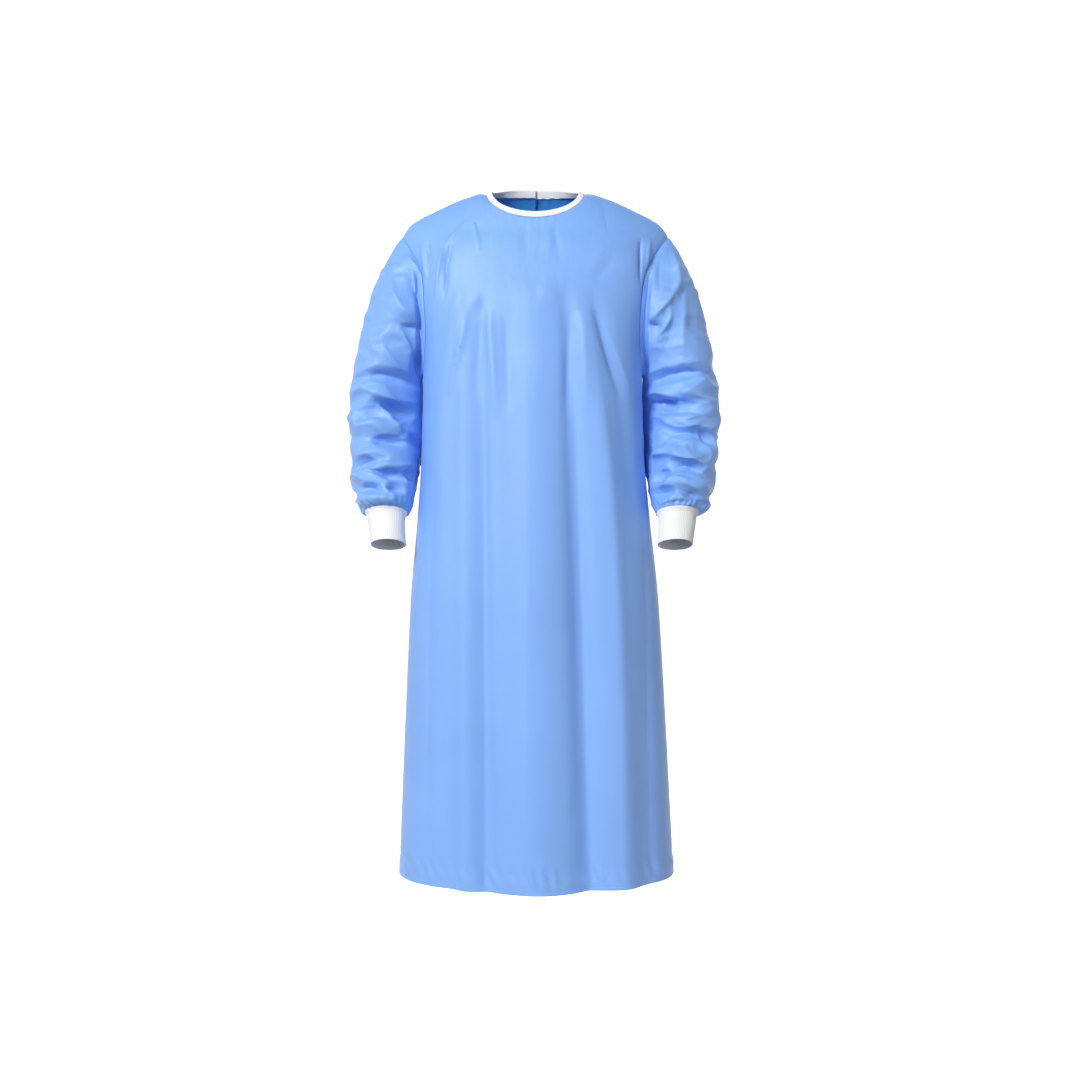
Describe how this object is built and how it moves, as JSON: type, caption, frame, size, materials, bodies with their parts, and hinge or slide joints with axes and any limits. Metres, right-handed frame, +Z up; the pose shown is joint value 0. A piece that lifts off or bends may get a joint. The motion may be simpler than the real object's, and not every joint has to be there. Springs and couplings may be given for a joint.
{
  "type": "surgical gown",
  "caption": "Long-sleeved surgical gown, filled out as worn: blue cloth open down the back, knit cuffs, a bound round neck and tie tapes.",
  "frame": {"origin": "middle of the neck, level with the points where the shoulder seams meet the neck", "axes": "+Z up, -Y towards the wearer's front, +X towards the wearer's left"},
  "size_m": [0.6418, 0.3314, 1.206],
  "materials": {
    "blue_cloth": "smooth fine-woven blue cloth with a faint satin sheen",
    "white_knit": "white rib knit, matt",
    "white_tape": "white woven tape, matt"
  },
  "bodies": {
    "root": {"front": "blue_cloth", "back_left": "blue_cloth", "back_right": "blue_cloth", "sleeve_left": "blue_cloth", "sleeve_right": "blue_cloth", "cuff_left": "white_knit", "cuff_right": "white_knit", "neck_binding": "white_tape", "neck_tie_left": "white_tape", "neck_tie_right": "white_tape", "neck_knot": "white_tape", "waist_tie_left": "white_tape", "waist_tie_right": "white_tape", "waist_knot": "white_tape"}
  },
  "joints": []
}
